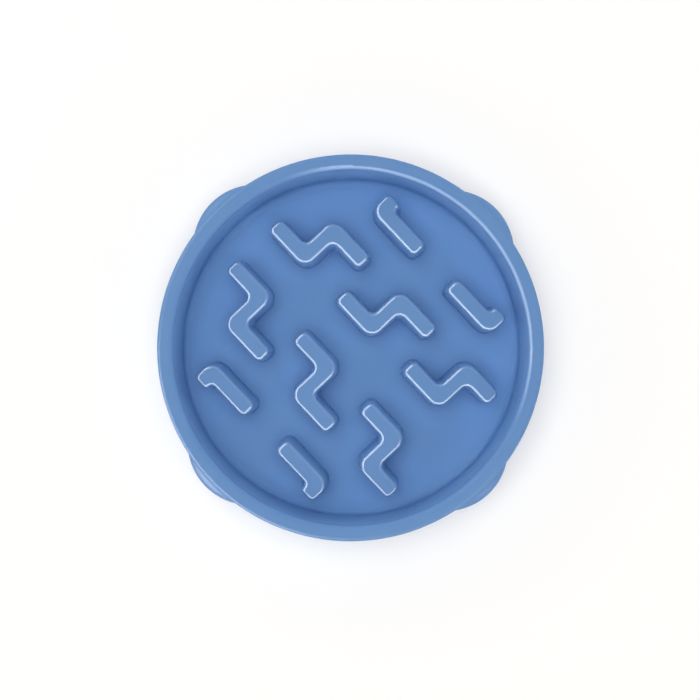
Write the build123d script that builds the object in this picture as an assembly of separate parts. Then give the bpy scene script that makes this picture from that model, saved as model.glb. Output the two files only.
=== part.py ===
from build123d import *
from math import hypot, radians, sqrt, tan
import os

os.makedirs("parts", exist_ok=True)

# Millimetres. +Z is up, the table is Z = 0 and the bowl's axis is the Z axis.
# X runs along the rows of ridges, so every ridge arm lies along X or Y.

# Overall sizes
RIM_DIA = 210.0             # outer edge of the rim
HEIGHT = 48.0               # table to rim top
WALL = 2.4                  # moulded wall, the same all over
TABLE_GAP = 2.0             # table to the lower edge of the moulding

# Basin
RIM_BAND = 8.4              # outer edge of the rim to the basin wall
FLOOR_Z = 11.0              # table to basin floor
BASIN_DRAFT = 2.85          # slope of the basin wall from upright, degrees
RIM_INNER_ROUND = 3.0       # rounding from the rim into the basin
RIM_OUTER_ROUND = 2.2       # rounding from the rim to the skirt
FLOOR_ROUND = 4.0           # rounding from the basin wall to the floor

# Skirt and the four lobes that carry the feet
SKIRT_FLARE = 2.0           # how far the skirt's lower edge stands out from the rim
LOBE_COUNT = 4
LOBE_OUT = 5.3              # how far a lobe stands out from the skirt's lower edge
LOBE_RADIUS = 36.0          # radius of a lobe at its lower edge
LOBE_DROP = 8.0             # rim top to the top of a lobe
LOBE_SHOULDER = 6.0         # rounding over the top of a lobe
LOBE_BLEND = 4.0            # rounding between lobe and skirt

# Ridges
RIDGE_WIDTH = 9.2           # across the top
RIDGE_DROP = 9.0            # rim top to ridge top
RIDGE_DRAFT = 3.0           # slope of the ridge walls from upright, degrees
RIDGE_TOP_ROUND = 2.0       # rounding along the top edge
CORNER_END = 3.0            # corners of a free end seen from above
CORNER_OUT = 7.0            # outer corner of a bend seen from above
CORNER_IN = 4.0             # inner corner of a bend seen from above
CORNER_SHARE = 0.95         # most of a short side that the roundings at its two ends may take

# Lanes between the ridges, from the X axis outwards, shared out over the floor
LANE_MIDDLE = 11.6          # X axis to the inner arms
LANE_ARMS = 12.2            # inner arms to outer arms
LANE_BARS = 17.6            # outer arms to bars
LANE_BACK = 25.8            # bars to wall

# Zigzags, in a row on each side of the X axis
ROW_COUNT = 3
ARM_INNER = 24.4            # cross arm to the free end of an inner arm
ARM_OUTER = 24.8            # cross arm to the free end of an outer arm
ARM_LAST = 20.9             # the same on the last zigzag of a row
START_GAP = 14.1            # wall to the free end of the first zigzag
END_GAP = 9.2               # wall to the free end of the last zigzag

# Bars, each with a hook at its outer end that turns towards the wall
BAR_START = 12.8            # bowl axis to the free end of a bar, along X
HOOK_REACH = 4.6            # how far a hook stands out from its bar
HOOK_GAP = 7.3              # wall to the tip of a hook

# Rubber feet, pushed into bosses under the lobes
FOOT_DIA = 14.0
FOOT_THICK = 4.0            # table to the boss end
FOOT_GAP = 1.6              # foot to the inside of the lobe
FOOT_BEVEL = 0.8            # bevel round the sole
GROOVE_INSET = 2.8          # edge of the sole to the middle of its ring groove
GROOVE_WIDTH = 1.6
GROOVE_DEPTH = 0.7
BORE_DIA = 6.0
BORE_DEPTH = 12.0
BOSS_WALL = 2.2             # wall of a boss round its bore
STEM_PLAY = 0.05            # stem to bore, all round
STEM_END_GAP = 2.0          # end of the stem to the end of the bore
STEM_LEAD = 1.0             # tapered tip of the stem

# Levels, radii and places that follow from the sizes above
STAND = (Align.CENTER, Align.CENTER, Align.MIN)
QUARTER = 90.0              # a quarter turn, degrees
TOUCH = 0.001               # two places this close are the same
MIDWAY = 0.5                # halfway along an edge
FLOOR_UNDER = FLOOR_Z - WALL
RIDGE_Z = HEIGHT - RIDGE_DROP
RIM_R = RIM_DIA / 2
BASIN_SLOPE = tan(radians(BASIN_DRAFT))
RIDGE_SLOPE = tan(radians(RIDGE_DRAFT))
FLOOR_R = RIM_R - RIM_BAND - (HEIGHT - FLOOR_Z) * BASIN_SLOPE
SKIRT_R = RIM_R + SKIRT_FLARE
SKIRT_SLOPE = SKIRT_FLARE / (HEIGHT - TABLE_GAP)
LOBE_REACH = SKIRT_R + LOBE_OUT
LOBE_TOP = HEIGHT - LOBE_DROP
FOOT_RING = LOBE_REACH - WALL - FOOT_GAP - FOOT_DIA / 2
HALF = RIDGE_WIDTH / 2
LANES = (LANE_MIDDLE, LANE_ARMS, LANE_BARS, LANE_BACK)
LANE_FIT = (FLOOR_R - (len(LANES) - 1) * RIDGE_WIDTH) / sum(LANES)
ROW_INNER = LANE_MIDDLE * LANE_FIT + HALF
ROW_OUTER = ROW_INNER + RIDGE_WIDTH + LANE_ARMS * LANE_FIT
BAR_OFFSET = ROW_OUTER + RIDGE_WIDTH + LANE_BARS * LANE_FIT
HOOK_END = BAR_OFFSET + HALF + HOOK_REACH


def room(aside, gap):
    """How far along X the floor goes at the distance aside from the X axis, gap short of the wall."""
    return sqrt((FLOOR_R - gap) ** 2 - aside ** 2)


ROW_START = -room(ROW_INNER + HALF, START_GAP)
ROW_END = room(ROW_OUTER + HALF, END_GAP)
ROW_PITCH = (ROW_END - ROW_START - ARM_INNER - ARM_LAST) / (ROW_COUNT - 1)
BAR_END = room(HOOK_END, HOOK_GAP) - HALF


def basin(grow):
    """The basin as a full body; grow adds a wall's thickness all round."""
    sink = FLOOR_Z - grow
    floor_r = FLOOR_R + grow - grow * BASIN_SLOPE
    mouth_r = floor_r + (HEIGHT - sink) * BASIN_SLOPE
    points = [(0, sink), (floor_r, sink), (mouth_r, HEIGHT), (0, HEIGHT)]
    profile = Plane.XZ * make_face(Polyline(*points, close=True))
    corner = profile.vertices().sort_by_distance((floor_r, 0, sink))[0]
    return revolve(fillet(corner, FLOOR_ROUND + grow), Axis.Z)


def skirt(inset, roof):
    """The skirt and its lobes as one full body, drawn in by inset, up to the height roof."""
    low = TABLE_GAP - inset
    rise = roof - low
    lobe_rise = LOBE_TOP - inset - low
    skirt_r = SKIRT_R - inset + inset * SKIRT_SLOPE
    lobe_r = LOBE_RADIUS - inset + inset * SKIRT_SLOPE
    body = Pos(0, 0, low) * Cone(skirt_r, skirt_r - rise * SKIRT_SLOPE, rise, align=STAND)
    lobe = Cone(lobe_r, lobe_r - lobe_rise * SKIRT_SLOPE, lobe_rise, align=STAND)
    lobe = fillet(lobe.edges().group_by(Axis.Z)[-1], LOBE_SHOULDER - inset)
    for turn in PolarLocations(0, LOBE_COUNT):
        body += turn * Pos(LOBE_REACH - LOBE_RADIUS, 0, low) * lobe
    creases = []
    for edge in body.edges():
        x, y, z = edge.position_at(MIDWAY)
        on_skirt = abs(hypot(x, y) - skirt_r + (z - low) * SKIRT_SLOPE) < TOUCH
        if on_skirt and low + TOUCH < z and edge.bounding_box().max.Z < roof - TOUCH:
            creases.append(edge)
    return fillet(creases, LOBE_BLEND + inset)


def band(path, half, grow):
    """The corners of a band along the path, clockwise, every side moved out by grow."""
    points = [Vector(*point) for point in path]
    ahead = [(b - a).normalized() for a, b in zip(points, points[1:])]
    points[0] -= ahead[0] * grow
    points[-1] += ahead[-1] * grow
    aside = [step.rotate(Axis.Z, QUARTER) * (half + grow) for step in ahead]
    shift = [aside[0]] + [a + b for a, b in zip(aside, aside[1:])] + [aside[-1]]
    left = [point + move for point, move in zip(points, shift)]
    right = [point - move for point, move in zip(points, shift)]
    return left + right[::-1]


def bends(outline):
    """Directions into and out of each corner, and its bend: 1 where the outline bends in, -1 where out."""
    into = [(b - a).normalized() for a, b in zip(outline[-1:] + outline, outline)]
    away = into[1:] + into[:1]
    return [(a, b, a.cross(b).Z) for a, b in zip(into, away)]


def corner_radii(outline, at_end, outside, inside):
    """The radius of each corner, less where a side is too short for the roundings at both its ends."""
    count = len(outline)
    ends = (0, count // 2 - 1, count // 2, count - 1)
    full = []
    for index, (into, away, bend) in enumerate(bends(outline)):
        free = at_end if index in ends else outside
        full.append(inside if bend > 0 else free)
    fit = []
    for index, corner in enumerate(outline):
        side = (corner - outline[index - 1]).length
        fit.append(min(1, CORNER_SHARE * side / max(full[index - 1] + full[index], TOUCH)))
    return [radius * min(a, b) for radius, a, b in zip(full, fit, fit[1:] + fit[:1])]


def plan(path, half, radii, grow):
    """A band along the path seen from above, its corners rounded, every side moved out by grow."""
    outline = band(path, half, grow)
    arcs = []
    starts = []
    stops = []
    for corner, radius, (into, away, bend) in zip(outline, radii, bends(outline)):
        cut = radius - bend * grow if radius else 0
        starts.append(corner - into * cut)
        stops.append(corner + away * cut)
        if radius:
            arcs.append(TangentArc(starts[-1], stops[-1], tangent=into))
    sides = [Line(a, b) for a, b in zip(stops, starts[1:] + starts)]
    return make_face(arcs + sides)


def ridge(path):
    """One ridge from inside the floor to its top, with drafted walls and a rounded top edge."""
    root = FLOOR_Z - WALL / 2
    radii = corner_radii(band(path, HALF, 0), CORNER_END, CORNER_OUT, CORNER_IN)
    wide = Pos(0, 0, root) * plan(path, HALF, radii, (RIDGE_Z - root) * RIDGE_SLOPE)
    narrow = Pos(0, 0, RIDGE_Z) * plan(path, HALF, radii, 0)
    body = loft([wide, narrow], ruled=True)
    return fillet(body.faces().sort_by(Axis.Z)[-1].edges(), RIDGE_TOP_ROUND)


def hollow(path):
    """The space under one ridge, which leaves a wall's thickness all round it."""
    points = [Vector(*point) for point in path]
    points[0] += (points[1] - points[0]).normalized() * WALL
    points[-1] += (points[-2] - points[-1]).normalized() * WALL
    root = FLOOR_UNDER - WALL
    roof = RIDGE_Z - WALL
    half = HALF - WALL
    radii = corner_radii(band(points, half, 0), 0, CORNER_OUT - WALL, 0)
    low = Pos(0, 0, root) * plan(points, half, radii, (roof - root) * RIDGE_SLOPE)
    high = Pos(0, 0, roof) * plan(points, half, radii, 0)
    return loft([low, high], ruled=True)


def ridge_paths():
    """The middle lines of the ten ridges; one side of the X axis mirrors the other."""
    last_arms = [ARM_OUTER] * (ROW_COUNT - 1) + [ARM_LAST]
    paths = []
    for side in (1, -1):
        for number, last_arm in enumerate(last_arms):
            cross = ROW_START + ARM_INNER + number * ROW_PITCH
            inner = side * ROW_INNER
            outer = side * ROW_OUTER
            paths.append([(cross - ARM_INNER, inner), (cross, inner), (cross, outer), (cross + last_arm, outer)])
        for end in (1, -1):
            bar = side * BAR_OFFSET
            paths.append([(end * BAR_START, bar), (end * BAR_END, bar), (end * BAR_END, side * HOOK_END)])
    return paths


def make_bowl():
    """The one moulding: skirt, rim, basin, hollow ridges and the four foot bosses."""
    body = skirt(0, HEIGHT) - skirt(WALL, HEIGHT - WALL)
    body += basin(WALL)
    lobes = PolarLocations(0, LOBE_COUNT)
    seat = Pos(FOOT_RING, 0, FOOT_THICK)
    boss = extrude(seat * Circle(BORE_DIA / 2 + BOSS_WALL), HEIGHT - WALL - FOOT_THICK)
    body += lobes * (boss & skirt(WALL / 2, HEIGHT - WALL / 2))
    body -= basin(0)
    body -= lobes * extrude(seat * Circle(BORE_DIA / 2), BORE_DEPTH)
    rim = body.edges().group_by(Axis.Z)[-1].sort_by(SortBy.LENGTH)
    body = fillet(rim[-1], RIM_OUTER_ROUND)
    rim = body.edges().filter_by(lambda edge: edge.center().Z > HEIGHT - TOUCH).sort_by(SortBy.LENGTH)
    body = fillet(rim[0], RIM_INNER_ROUND)
    for path in ridge_paths():
        body += ridge(path)
    for path in ridge_paths():
        body -= hollow(path)
    return body


def make_foot():
    """One rubber foot: a grooved sole, and a stem that fills the boss's bore."""
    sole = chamfer(Cylinder(FOOT_DIA / 2, FOOT_THICK, align=STAND).edges().group_by(Axis.Z)[0], FOOT_BEVEL)
    groove_r = FOOT_DIA / 2 - GROOVE_INSET
    ring = Circle(groove_r + GROOVE_WIDTH / 2) - Circle(groove_r - GROOVE_WIDTH / 2)
    sole -= extrude(ring, GROOVE_DEPTH)
    stem = Pos(0, 0, FOOT_THICK) * Cylinder(BORE_DIA / 2 - STEM_PLAY, BORE_DEPTH - STEM_END_GAP, align=STAND)
    stem = chamfer(stem.edges().group_by(Axis.Z)[-1], STEM_LEAD)
    return Pos(FOOT_RING, 0, 0) * (sole + stem)


bowl = make_bowl()
export_step(bowl, "parts/bowl.step")
foot = make_foot()
for number, turn in enumerate(PolarLocations(0, LOBE_COUNT), 1):
    export_step(turn * foot, f"parts/foot_{number}.step")
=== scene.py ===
from math import cos, radians, sin

import bpy
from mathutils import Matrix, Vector

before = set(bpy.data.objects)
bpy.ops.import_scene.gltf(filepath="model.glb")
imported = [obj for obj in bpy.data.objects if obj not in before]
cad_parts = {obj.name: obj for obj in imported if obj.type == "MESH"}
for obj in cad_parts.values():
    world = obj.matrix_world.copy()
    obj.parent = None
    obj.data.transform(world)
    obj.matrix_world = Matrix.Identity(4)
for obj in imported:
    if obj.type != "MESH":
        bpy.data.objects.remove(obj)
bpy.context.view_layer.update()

# The bowl's own sizes that the scene needs, metres.
RIM_RADIUS = 0.105
RIM_TOP = 0.048
RIM_FLAT_START = 0.0996     # inner end of the rim's flat band
OUTER_EDGE_START = 0.1022   # outer end of that band
BASIN_RADIUS = 0.0966       # of the basin wall at its top
RIDGE_TOP = 0.039
RIDGE_REACH = 0.088         # the ridges end inside this distance from the axis
FLOOR_TOP = 0.011
FLOOR_ROUND = 0.004         # rounding of the basin wall into the floor
FLOOR_MIDDLE = 0.0098       # halfway through the floor
FLOOR_UNDERSIDE = 0.0086
PIN_PLACE = (0.036, 0.051)  # ejector pins, mirrored in X and Y
PIN_RADIUS = 0.004
PIN_BORDER = 0.94           # start of a pin mark's sloped border, as a share of its radius
GATE_RADIUS = 0.0022
GATE_BORDER = 0.8           # the same for the gate mark

# The photograph's frame, in its pixels.
FRAME_PX = 700
RIM_PX = 387.8              # width of the rim
CENTRE_PX = (350.2, 348.2)  # middle of the rim
ROLL = 46.7                 # turn of the bowl's X axis from the picture's right, degrees
LENS_HEIGHT = 0.72          # lens above the rim
LEAN = 0.9                  # lean of the camera off upright, towards +Y, degrees
SENSOR = 36.0
CLIP_START = 0.01

PX_SIZE = 2 * RIM_RADIUS / RIM_PX
RIGHT = Vector((cos(radians(ROLL)), sin(radians(ROLL)), 0))
UP = Vector((-sin(radians(ROLL)), cos(radians(ROLL)), 0))

# Light, in metres, watts and degrees. The top lamp and the tent give the colours.
# Only reflections see the panels.
TOP_PLACE = Vector((0, 0, 1.6)) + UP * 0.04 - RIGHT * 0.08  # a little to the picture's left
TOP_POWER = 20.0
TOP_SIZE = 1.15
TENT_SIDES = 2.0            # strength of the tent at the height of the table, down to nothing at its roof
TENT_FALL = 4.0             # how fast it falls off upwards
PANEL_DISTANCE = 1.2
PANEL_LIFT = 34.0           # above the table
PANEL_HEIGHT = 1.6
PANELS = (                  # turn from -Y, width, power
    ("middle panel", 0.0, 1.8, 90.0),
    ("left panel", -75.0, 1.2, 55.0),
    ("right panel", 75.0, 1.2, 55.0),
)

# Table. The lift is added where the table is seen, and goes up to white between two distances from the axis.
TABLE_SIZE = 4.0
TABLE_ROUGHNESS = 0.9
TABLE_LIFT = 0.16
TABLE_NEAR = 0.3
TABLE_FAR = 1.1

# Wear, and painted light. Dull is the share of the polish that an area lacks. The -Y and +Y parts of the rim
# are told apart by Y over the distance from the axis.
FLAT_DULL = 0.96            # flat tops of the ridges and the rim
OUTSIDE_DULL = 0.95
NEAR_EDGE_DULL = 0.66       # how much of that holds at its -Y part
FAR_EDGE_DULL = 0.55        # +Y part of the rim's inner edge
STREAK_DULL = 0.25
NEAR_PART = (-0.95, -0.55)  # the -Y part fades out between these
FAR_PART = (0.35, 0.70)     # the +Y part fades in between these
EDGE_SOFT = 0.0006          # how wide a border is, seen from above
RIDGE_FLAT_SOFT = 0.00003   # drop from a ridge's flat top at which its edge starts
RIM_FLAT_SOFT = 0.00009     # the same for the rim
RIDGE_PAINTED_LIGHT = (0.003, 0.001)  # painted light on the shaded sides fades out between these depths under the ridge tops
WALL_PAINTED_LIGHT = (0.007, 0.003)   # and between these under the rim
FLOOR_PAINTED_LIGHT = 0.30          # share of the painted light on the floor, beside the wall

# Finishes. Scales are per metre, depths in metres.
PLASTIC_GRAIN = {"Grain Scale": 2600.0, "Mottle Scale": 34.0, "Streak Scale": 900.0}
PLASTIC_ROUGHNESS = (0.34, 0.46)
PLASTIC_SHINE = 0.02        # of the satin plastic, without its polish
PLASTIC_BUMP = 0.04
POLISH_ROUGHNESS = 0.25
MARK_BUMP = 0.6
MARK_DEPTH = 0.0003
RUBBER_GRAIN = {"Grain Scale": 3200.0, "Mottle Scale": 160.0, "Streak Scale": 1500.0}
RUBBER_ROUGHNESS = (0.68, 0.88)
RUBBER_BUMP = 0.25
GRAIN_DEPTH = 0.0002
REFRACTION = 1.5            # of plastic, polish and rubber
STREAK_TILT = (0.2, 0.1)    # turn of the streaks about X and Y, radians
STREAK_SETS = ((0.6, 0.035), (2.1, 0.05))  # turn about Z, and the scale along the streaks
STREAK_CUT = (0.66, 0.74)   # noise at which a streak starts and is full

# Colours, as linear light.
BOWL_BLUE = (0.112, 0.231, 0.460, 1)
BOWL_BLUE_PALE = (0.130, 0.253, 0.488, 1)
# paler blue painted on the shaded basin wall, ridge sides and floor, as painted light
PAINTED_LIGHT_BLUE = (0.150, 0.305, 0.575, 1)
FOOT_GREY = (0.034, 0.036, 0.039, 1)
FOOT_GREY_PALE = (0.060, 0.062, 0.066, 1)
TABLE_WHITE = (0.840, 0.824, 0.800, 1)
TENT_WHITE = (1, 1, 1, 1)
PANEL_WHITE = (1.0, 0.92, 0.82)


def fill(tree, node, entries):
    """Gives each of these inputs its value, or a link from another node's output."""
    for entry, value in entries.items():
        if isinstance(value, bpy.types.NodeSocket):
            tree.links.new(value, node.inputs[entry])
        else:
            node.inputs[entry].default_value = value


def add(tree, kind, entries=None, **settings):
    """A node of that kind, with its settings by name and its inputs filled."""
    node = tree.nodes.new(kind)
    for name, value in settings.items():
        setattr(node, name, value)
    fill(tree, node, entries or {})
    return node


def join(tree, operation, *values):
    """The values, taken together two by two with that operation."""
    total = values[0]
    for value in values[1:]:
        total = add(tree, "ShaderNodeMath", {0: total, 1: value}, operation=operation).outputs["Value"]
    return total


def ramp(tree, value, start, stop, first, last, steps="LINEAR"):
    """A ramp from first to last as the value goes from start to stop."""
    entries = {"Value": value, "From Min": start, "From Max": stop, "To Min": first, "To Max": last}
    return add(tree, "ShaderNodeMapRange", entries, interpolation_type=steps).outputs["Result"]


def ease(tree, value, start, stop, first=1.0, last=0.0):
    """A soft step from first to last as the value goes from start to stop."""
    return ramp(tree, value, start, stop, first, last, "SMOOTHSTEP")


def blend(tree, share, first, second):
    """The first colour, going over to the second by that share."""
    entries = {"Factor": share, "A": first, "B": second}
    return add(tree, "ShaderNodeMix", entries, data_type="RGBA").outputs["Result"]


def object_place(tree):
    """The place on the piece."""
    return add(tree, "ShaderNodeTexCoord").outputs["Object"]


def new_material(name):
    """A material, its nodes and its shader."""
    paint = bpy.data.materials.new(name)
    paint.use_nodes = True
    return paint, paint.node_tree, paint.node_tree.nodes["Principled BSDF"]


def place_camera():
    """Straight above the bowl, with the photograph's turn and framing."""
    data = bpy.data.cameras.new("camera")
    camera = bpy.data.objects.new("camera", data)
    bpy.context.scene.collection.objects.link(camera)
    bpy.context.scene.camera = camera
    data.sensor_width = SENSOR
    data.lens = SENSOR * LENS_HEIGHT / (PX_SIZE * FRAME_PX)
    data.clip_start = CLIP_START
    aside = (FRAME_PX / 2 - CENTRE_PX[0]) * PX_SIZE
    above = (CENTRE_PX[1] - FRAME_PX / 2) * PX_SIZE
    aim = Vector((0, 0, RIM_TOP)) + RIGHT * aside + UP * above
    lean = radians(LEAN)
    back = Vector((0, sin(lean), cos(lean)))
    camera.location = aim + back * LENS_HEIGHT
    right = (RIGHT - back * RIGHT.dot(back)).normalized()
    turn = camera.matrix_world.to_3x3()
    turn.col[0] = right
    turn.col[1] = back.cross(right)
    turn.col[2] = back
    camera.rotation_euler = turn.to_euler()


def softbox(name, place, width, height, power):
    """A soft lamp that looks at the bowl."""
    data = bpy.data.lights.new(name, "AREA")
    data.shape = "RECTANGLE"
    data.size = width
    data.size_y = height
    data.energy = power
    lamp = bpy.data.objects.new(name, data)
    bpy.context.scene.collection.objects.link(lamp)
    lamp.location = place
    lamp.rotation_euler = (Vector((0, 0, RIM_TOP)) - place).to_track_quat("-Z", "Y").to_euler()
    return lamp


def light_the_table():
    """Soft light from above for the colours, and panels that show as thin lines on the edges."""
    top = softbox("top softbox", TOP_PLACE, TOP_SIZE, TOP_SIZE, TOP_POWER)
    top.visible_glossy = False
    lift = radians(PANEL_LIFT)
    for name, turn, width, power in PANELS:
        aside = radians(turn)
        way = Vector((sin(aside) * cos(lift), -cos(aside) * cos(lift), sin(lift)))
        panel = softbox(name, way * PANEL_DISTANCE, width, PANEL_HEIGHT, power)
        panel.data.color = PANEL_WHITE
        panel.visible_diffuse = False


def seen(tree):
    """1 where the lens, a reflection or a see-through piece looks, and 0 where a surface is lit."""
    path = add(tree, "ShaderNodeLightPath")
    rays = ("Is Camera Ray", "Is Glossy Ray", "Is Transmission Ray")
    return join(tree, "MAXIMUM", *(path.outputs[ray] for ray in rays))


def light_tent():
    """A white tent round the table, brighter at its sides. The lens and reflections see plain white."""
    world = bpy.data.worlds.new("light tent")
    bpy.context.scene.world = world
    world.use_nodes = True
    tree = world.node_tree
    tree.nodes.clear()
    way = add(tree, "ShaderNodeTexCoord").outputs["Generated"]
    rise = add(tree, "ShaderNodeSeparateXYZ", {"Vector": way}).outputs["Z"]
    level = join(tree, "SUBTRACT", 1.0, join(tree, "MULTIPLY", rise, rise))
    strength = join(tree, "MULTIPLY", join(tree, "POWER", level, TENT_FALL), TENT_SIDES)
    cloth = add(tree, "ShaderNodeBackground", {"Color": TENT_WHITE, "Strength": strength})
    plain = add(tree, "ShaderNodeBackground", {"Color": TENT_WHITE, "Strength": 1.0})
    mix = add(tree, "ShaderNodeMixShader",
              {0: seen(tree), 1: cloth.outputs["Background"], 2: plain.outputs["Background"]})
    add(tree, "ShaderNodeOutputWorld", {"Surface": mix.outputs["Shader"]})


def lay_table():
    """A plain white table top under the feet, lifted to white where it is seen, with the bowl's shadow."""
    bpy.ops.object.select_all(action="DESELECT")
    bpy.ops.mesh.primitive_plane_add(size=TABLE_SIZE, location=(0, 0, 0))
    table = bpy.context.active_object
    table.name = "table"
    paint, tree, shader = new_material("table white")
    fill(tree, shader, {"Base Color": TABLE_WHITE, "Roughness": TABLE_ROUGHNESS, "Specular IOR Level": 0.0})
    out = add(tree, "ShaderNodeVectorMath", {0: object_place(tree)}, operation="LENGTH").outputs["Value"]
    lift = join(tree, "MULTIPLY", seen(tree), ease(tree, out, TABLE_NEAR, TABLE_FAR, TABLE_LIFT, 1.0))
    glow = add(tree, "ShaderNodeEmission", {"Strength": lift})
    both = add(tree, "ShaderNodeAddShader", {0: shader.outputs["BSDF"], 1: glow.outputs["Emission"]})
    fill(tree, tree.nodes["Material Output"], {"Surface": both.outputs["Shader"]})
    table.data.materials.append(paint)


def surface_grain():
    """Shared by the plastic and the rubber: fine grain, slow mottling and rubbed streaks."""
    group = bpy.data.node_groups.new("surface grain", "ShaderNodeTree")
    for name in ("Grain Scale", "Mottle Scale", "Streak Scale"):
        group.interface.new_socket(name, in_out="INPUT", socket_type="NodeSocketFloat")
    for name in ("Grain", "Mottle", "Streaks"):
        group.interface.new_socket(name, in_out="OUTPUT", socket_type="NodeSocketFloat")
    enter = add(group, "NodeGroupInput")
    place = object_place(group)

    grain = add(group, "ShaderNodeTexNoise", {
        "Vector": place, "Scale": enter.outputs["Grain Scale"],
        "Detail": 3.0, "Roughness": 0.6,
    })
    mottle = add(group, "ShaderNodeTexNoise", {
        "Vector": place, "Scale": enter.outputs["Mottle Scale"],
        "Detail": 4.0, "Roughness": 0.5, "Distortion": 0.6,
    })
    sets = []
    for turn, squeeze in STREAK_SETS:
        lay = add(group, "ShaderNodeMapping", {
            "Vector": place, "Rotation": (*STREAK_TILT, turn), "Scale": (1.0, squeeze, 1.0),
        })
        line = add(group, "ShaderNodeTexNoise", {
            "Vector": lay.outputs["Vector"], "Scale": enter.outputs["Streak Scale"],
            "Detail": 2.0,
        })
        sets.append(ramp(group, line.outputs["Fac"], *STREAK_CUT, 0.0, 1.0))
    add(group, "NodeGroupOutput", {
        "Grain": grain.outputs["Fac"],
        "Mottle": mottle.outputs["Fac"],
        "Streaks": join(group, "MAXIMUM", *sets),
    })
    return group


def distance(tree, place, point):
    """How far the place is from that point."""
    return add(tree, "ShaderNodeVectorMath", {0: place, 1: point}, operation="DISTANCE").outputs["Value"]


def underside_marks(tree):
    """Height of the round marks that the mould leaves under the floor: four pins sunk, the gate proud."""
    place = object_place(tree)
    height = add(tree, "ShaderNodeSeparateXYZ", {"Vector": place}).outputs["Z"]
    folded = add(tree, "ShaderNodeVectorMath", {0: place}, operation="ABSOLUTE").outputs["Vector"]
    from_pin = distance(tree, folded, (*PIN_PLACE, FLOOR_UNDERSIDE))
    sunk = ramp(tree, from_pin, PIN_RADIUS * PIN_BORDER, PIN_RADIUS, -1.0, 0.0)
    from_gate = distance(tree, place, (0, 0, FLOOR_UNDERSIDE))
    proud = ramp(tree, from_gate, GATE_RADIUS * GATE_BORDER, GATE_RADIUS, 1.0, 0.0)
    under = join(tree, "LESS_THAN", height, FLOOR_MIDDLE)
    return join(tree, "MULTIPLY", join(tree, "ADD", sunk, proud), under)


def place_in_bowl(tree):
    """Y and Z of the place on the bowl, and its distance from the bowl's axis."""
    place = object_place(tree)
    split = add(tree, "ShaderNodeSeparateXYZ", {"Vector": place})
    flat = add(tree, "ShaderNodeVectorMath", {0: place, 1: (1, 1, 0)}, operation="MULTIPLY")
    out = add(tree, "ShaderNodeVectorMath", {0: flat.outputs["Vector"]}, operation="LENGTH")
    return split.outputs["Y"], split.outputs["Z"], out.outputs["Value"]


def dull_areas(tree):
    """Near 1 on the satin areas: flat tops, floor, outside. Low on edges that are rubbed to a shine."""
    y, z, out = place_in_bowl(tree)
    inside = ease(tree, out, RIM_FLAT_START, RIM_FLAT_START + EDGE_SOFT)
    low = ease(tree, z, FLOOR_TOP + FLOOR_ROUND, FLOOR_TOP + 2 * FLOOR_ROUND)
    floor = join(tree, "MULTIPLY", low, inside)

    top = ease(tree, z, RIDGE_TOP - 2 * RIDGE_FLAT_SOFT, RIDGE_TOP - RIDGE_FLAT_SOFT, 0.0, FLAT_DULL)
    among_ridges = ease(tree, out, RIDGE_REACH, RIDGE_REACH + EDGE_SOFT)
    ridge_flat = join(tree, "MULTIPLY", top, among_ridges)
    rim_flat = ease(tree, z, RIM_TOP - 2 * RIM_FLAT_SOFT, RIM_TOP - RIM_FLAT_SOFT, 0.0, FLAT_DULL)

    facing = join(tree, "DIVIDE", y, out)
    at_wall = ease(tree, out, BASIN_RADIUS - EDGE_SOFT, BASIN_RADIUS, 0.0, 1.0)
    far_side = ease(tree, facing, *FAR_PART, 1.0, FAR_EDGE_DULL)
    inner_edge = join(tree, "MULTIPLY", inside, at_wall, far_side)

    beyond = ease(tree, out, OUTER_EDGE_START, OUTER_EDGE_START + EDGE_SOFT, 0.0, OUTSIDE_DULL)
    near_side = ease(tree, facing, *NEAR_PART, NEAR_EDGE_DULL, 1.0)
    outside = join(tree, "MULTIPLY", beyond, near_side)
    return join(tree, "MAXIMUM", floor, ridge_flat, rim_flat, inner_edge, outside)


def painted_light_on_sides(tree):
    """Painted light: 1 on the basin's wall and the ridges' sides, which lie in shade and are painted paler,
    and less on the floor.
    """
    _, z, out = place_in_bowl(tree)
    foot = ease(tree, z, FLOOR_TOP, FLOOR_TOP + FLOOR_ROUND / 2, FLOOR_PAINTED_LIGHT, 1.0)
    below_ridges = ease(tree, z, *(RIDGE_TOP - depth for depth in RIDGE_PAINTED_LIGHT))
    wall = ease(tree, out, RIDGE_REACH, RIDGE_REACH + FLOOR_ROUND, 0.0, 1.0)
    below_rim = ease(tree, z, *(RIM_TOP - depth for depth in WALL_PAINTED_LIGHT))
    inside = ease(tree, out, BASIN_RADIUS, BASIN_RADIUS + EDGE_SOFT)
    return join(tree, "MULTIPLY", foot, join(tree, "MAXIMUM", below_ridges, wall), below_rim, inside)


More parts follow.
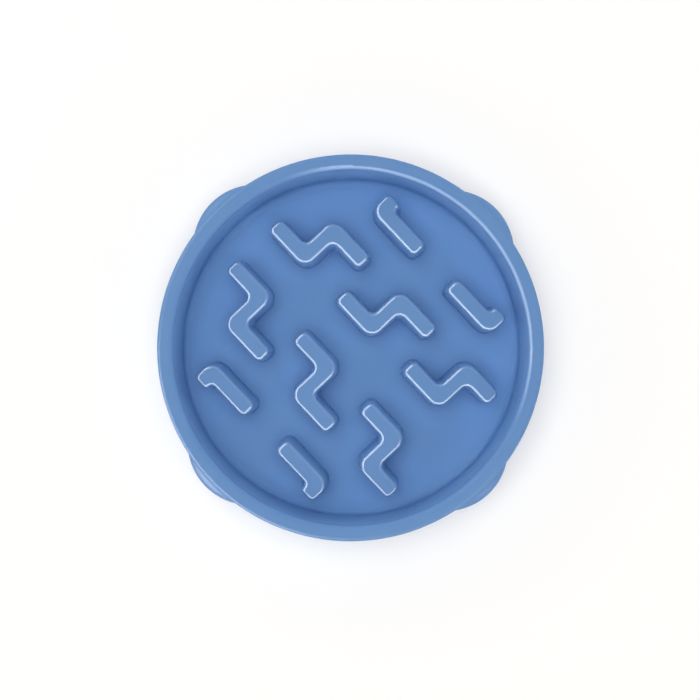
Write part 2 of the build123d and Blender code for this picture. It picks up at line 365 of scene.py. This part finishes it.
def moulding_material(grain_group):
    """Light blue satin plastic, rubbed to a shine on the edges, and painted paler down in the basin as
    painted light.
    """
    paint, tree, shader = new_material("bowl plastic")
    grain = add(tree, "ShaderNodeGroup", PLASTIC_GRAIN, node_tree=grain_group).outputs
    blue = blend(tree, grain["Mottle"], BOWL_BLUE, BOWL_BLUE_PALE)
    dull = add(tree, "ShaderNodeMath", {0: grain["Streaks"], 1: STREAK_DULL, 2: dull_areas(tree)},
               operation="MULTIPLY_ADD").outputs["Value"]
    bump = add(tree, "ShaderNodeBump", {
        "Strength": PLASTIC_BUMP, "Distance": GRAIN_DEPTH, "Height": grain["Grain"],
    })
    press = add(tree, "ShaderNodeBump", {
        "Strength": MARK_BUMP, "Distance": MARK_DEPTH, "Height": underside_marks(tree),
        "Normal": bump.outputs["Normal"],
    })
    fill(tree, shader, {
        # Painted light: the shaded basin wall, ridge sides and floor are painted a paler blue.
        "Base Color": blend(tree, painted_light_on_sides(tree), blue, PAINTED_LIGHT_BLUE),
        "Roughness": ramp(tree, grain["Mottle"], 0.0, 1.0, *PLASTIC_ROUGHNESS),
        "IOR": REFRACTION,
        "Specular IOR Level": PLASTIC_SHINE,
        "Coat Weight": ramp(tree, dull, 0.0, 1.0, 1.0, 0.0),
        "Coat Roughness": POLISH_ROUGHNESS,
        "Coat IOR": REFRACTION,
        "Normal": press.outputs["Normal"],
    })
    return paint


def rubber_material(grain_group):
    """Matt dark rubber of the feet."""
    paint, tree, shader = new_material("foot rubber")
    grain = add(tree, "ShaderNodeGroup", RUBBER_GRAIN, node_tree=grain_group).outputs
    bump = add(tree, "ShaderNodeBump", {
        "Strength": RUBBER_BUMP, "Distance": GRAIN_DEPTH, "Height": grain["Grain"],
    })
    fill(tree, shader, {
        "Base Color": blend(tree, grain["Mottle"], FOOT_GREY, FOOT_GREY_PALE),
        "Roughness": ramp(tree, grain["Grain"], 0.0, 1.0, *RUBBER_ROUGHNESS),
        "IOR": REFRACTION,
        "Normal": bump.outputs["Normal"],
    })
    return paint


def paint_nodes():
    """Each CAD node gets its finish."""
    grain_group = surface_grain()
    plastic = moulding_material(grain_group)
    rubber = rubber_material(grain_group)
    for name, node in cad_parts.items():
        node.data.materials.clear()
        node.data.materials.append(plastic if name == "bowl" else rubber)


bpy.context.scene.view_settings.view_transform = "Standard"
lay_table()
light_tent()
light_the_table()
paint_nodes()
place_camera()
